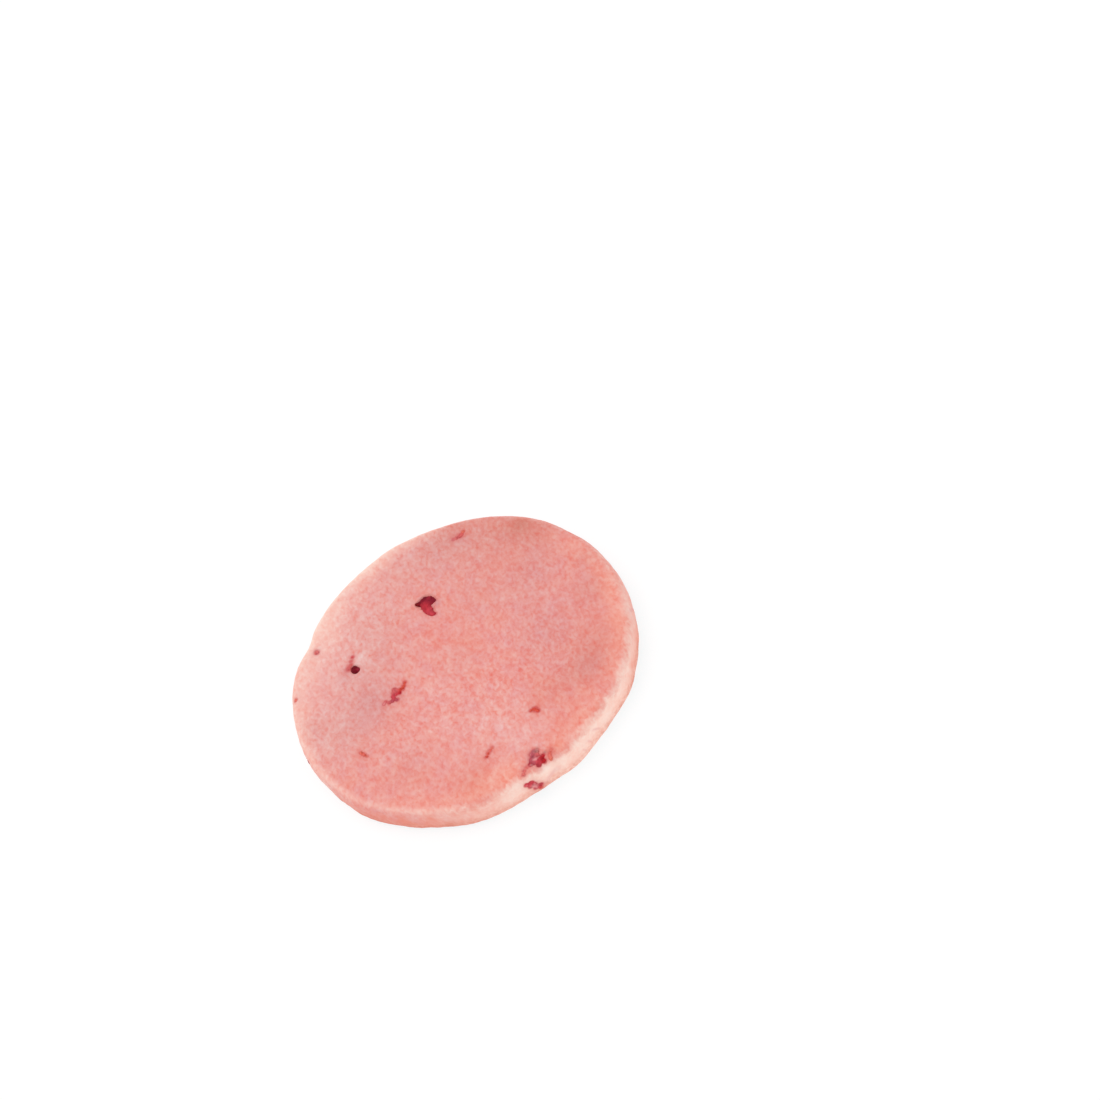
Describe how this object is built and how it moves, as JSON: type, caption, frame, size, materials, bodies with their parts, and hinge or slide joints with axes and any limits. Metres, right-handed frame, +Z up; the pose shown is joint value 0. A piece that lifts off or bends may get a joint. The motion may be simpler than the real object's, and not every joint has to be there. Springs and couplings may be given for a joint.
{
  "type": "raspberry sable biscuit",
  "caption": "Thin round shortbread biscuit of pink raspberry dough with a flat base, a rounded uneven edge and pieces of dried raspberry baked into its face and side.",
  "frame": {"origin": "middle of the flat base, on the surface that the biscuit lies on", "axes": "+Z up through the thickness, out of the shown face; -Y towards the pictured front edge"},
  "size_m": [0.06, 0.0599, 0.0052],
  "materials": {
    "dough": null,
    "fruit": null
  },
  "bodies": {
    "root": {"biscuit": "dough"}
  },
  "joints": []
}
